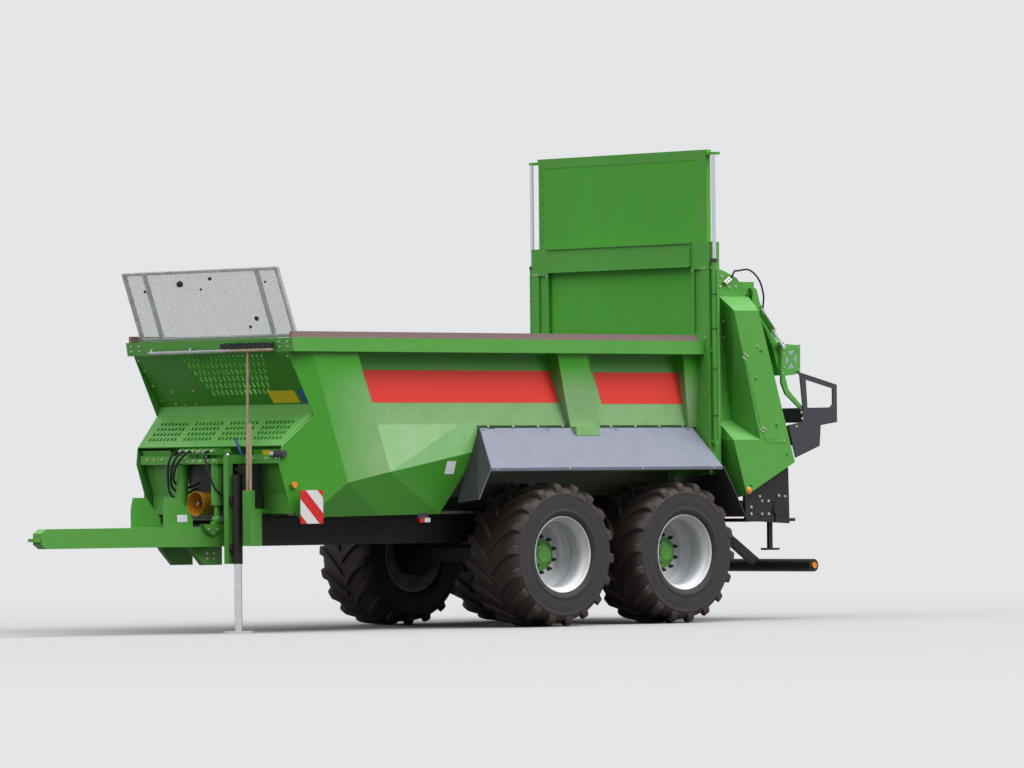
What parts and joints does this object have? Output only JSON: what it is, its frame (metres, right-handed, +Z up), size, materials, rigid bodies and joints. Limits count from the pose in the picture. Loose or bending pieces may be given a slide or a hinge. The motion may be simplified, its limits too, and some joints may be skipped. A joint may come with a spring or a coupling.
{
  "type": "manure spreader",
  "caption": "Tandem-axle manure spreader: green hopper with scraper floor, raised gate, flat beaters, spreading discs, sprung drawbar and parking jack.",
  "frame": {"origin": "middle of the machine's length and width, on the ground", "axes": "+X forward to the hitch eye, +Y to the left, +Z up"},
  "size_m": [9.18, 2.828, 4.557],
  "materials": {
    "amber_plastic": "amber lens",
    "black_paint": "satin anthracite paint",
    "board": "brown coated board",
    "chrome": "hard chromed rod",
    "flap_rubber": "rubber sheet",
    "galvanised": "hot dip galvanised",
    "green_paint": "glossy green paint",
    "grey_paint": "satin blue-grey paint",
    "light_green_paint": "glossy green paint",
    "silver_paint": "silver rim paint",
    "tyre": "tread rubber",
    "white_sheet": "reflective sheet",
    "worn_steel": "bare worn steel",
    "yellow_plastic": "yellow guard plastic"
  },
  "bodies": {
    "chassis": {"floor_pan": "worn_steel", "scraper_floor": "worn_steel", "hopper_sides": "green_paint", "side_cladding": "green_paint", "front_wall": "green_paint", "front_cover": "light_green_paint", "rim_frame": "green_paint", "rim_boards": "board", "mesh_guard": "galvanised", "chassis_frame": "green_paint", "front_frame": "green_paint", "drawbar": "green_paint", "pto_stub": "worn_steel", "pto_guard": "yellow_plastic", "front_console": "green_paint", "jack_tube": "black_paint", "bogie_springs": "black_paint", "axles": "green_paint", "fenders": "grey_paint", "mudflaps": "flap_rubber", "gate_frame": "green_paint", "unit_sides": "green_paint", "spreader_table": "black_paint", "underride_guard": "black_paint", "lamps": "amber_plastic", "warning_boards": "white_sheet"},
    "wheel_front_left": {"tyre_front_left": "tyre", "rim_front_left": "silver_paint"},
    "wheel_front_right": {"tyre_front_right": "tyre", "rim_front_right": "silver_paint"},
    "wheel_rear_left": {"tyre_rear_left": "tyre", "rim_rear_left": "silver_paint"},
    "wheel_rear_right": {"tyre_rear_right": "tyre", "rim_rear_right": "silver_paint"},
    "gate_slide": {"gate": "green_paint", "gate_rods": "chrome"},
    "jack": {"jack_foot": "chrome"},
    "upper_beater": {"beater_upper": "worn_steel"},
    "lower_beater": {"beater_lower": "worn_steel"},
    "left_disc": {"disc_left": "worn_steel"},
    "right_disc": {"disc_right": "worn_steel"},
    "hood": {"rear_hood": "green_paint", "rear_deflector": "black_paint"},
    "hood_strut": {"hood_barrels": "green_paint"},
    "hood_strut_rod": {"hood_rods": "chrome"}
  },
  "joints": [
    {"name": "wheel_front_left_spin", "type": "hinge", "parent": "chassis", "child": "wheel_front_left", "pos_m": [-0.735, 1.055, 0.68], "axis": [0, 1, 0], "continuous": true},
    {"name": "wheel_front_right_spin", "type": "hinge", "parent": "chassis", "child": "wheel_front_right", "pos_m": [-0.735, -1.055, 0.68], "axis": [0, 1, 0], "continuous": true},
    {"name": "wheel_rear_left_spin", "type": "hinge", "parent": "chassis", "child": "wheel_rear_left", "pos_m": [-2.335, 1.055, 0.68], "axis": [0, 1, 0], "continuous": true},
    {"name": "wheel_rear_right_spin", "type": "hinge", "parent": "chassis", "child": "wheel_rear_right", "pos_m": [-2.335, -1.055, 0.68], "axis": [0, 1, 0], "continuous": true},
    {"name": "gate_lift", "type": "slide", "parent": "chassis", "child": "gate_slide", "axis": [0, 0, 1], "range_m": [-0.83, 0]},
    {"name": "jack_slide", "type": "slide", "parent": "chassis", "child": "jack", "axis": [0, 0, 1], "range_m": [0, 0.42]},
    {"name": "upper_beater_spin", "type": "hinge", "parent": "chassis", "child": "upper_beater", "pos_m": [-3.285, 0, 2.48], "axis": [0, 1, 0], "continuous": true},
    {"name": "lower_beater_spin", "type": "hinge", "parent": "chassis", "child": "lower_beater", "pos_m": [-3.37, 0, 1.83], "axis": [0, 1, 0], "continuous": true},
    {"name": "left_disc_spin", "type": "hinge", "parent": "chassis", "child": "left_disc", "pos_m": [-3.6, 0.5, 1.09], "axis": [0, 0, 1], "continuous": true},
    {"name": "right_disc_spin", "type": "hinge", "parent": "chassis", "child": "right_disc", "pos_m": [-3.6, -0.5, 1.09], "axis": [0, 0, 1], "continuous": true},
    {"name": "hood_swing", "type": "hinge", "parent": "chassis", "child": "hood", "pos_m": [-3.33, 0, 3.19], "axis": [0, 1, 0], "range_deg": [0, 45]},
    {"name": "hood_strut_swing", "type": "hinge", "parent": "chassis", "child": "hood_strut", "pos_m": [-3.52, 0, 3.02], "axis": [0, 1, 0], "range_deg": [0, 65.85]},
    {"name": "hood_strut_stroke", "type": "slide", "parent": "hood_strut", "child": "hood_strut_rod", "axis": [-0.6637, 0, -0.748], "range_m": [0, 0.0875]}
  ],
  "couplings": [
    {"joint": "hood_strut_swing", "follows": "hood_swing", "ratio": 1.4347},
    {"joint": "hood_strut_stroke", "follows": "hood_swing", "m_per_rad": 0.1093}
  ]
}
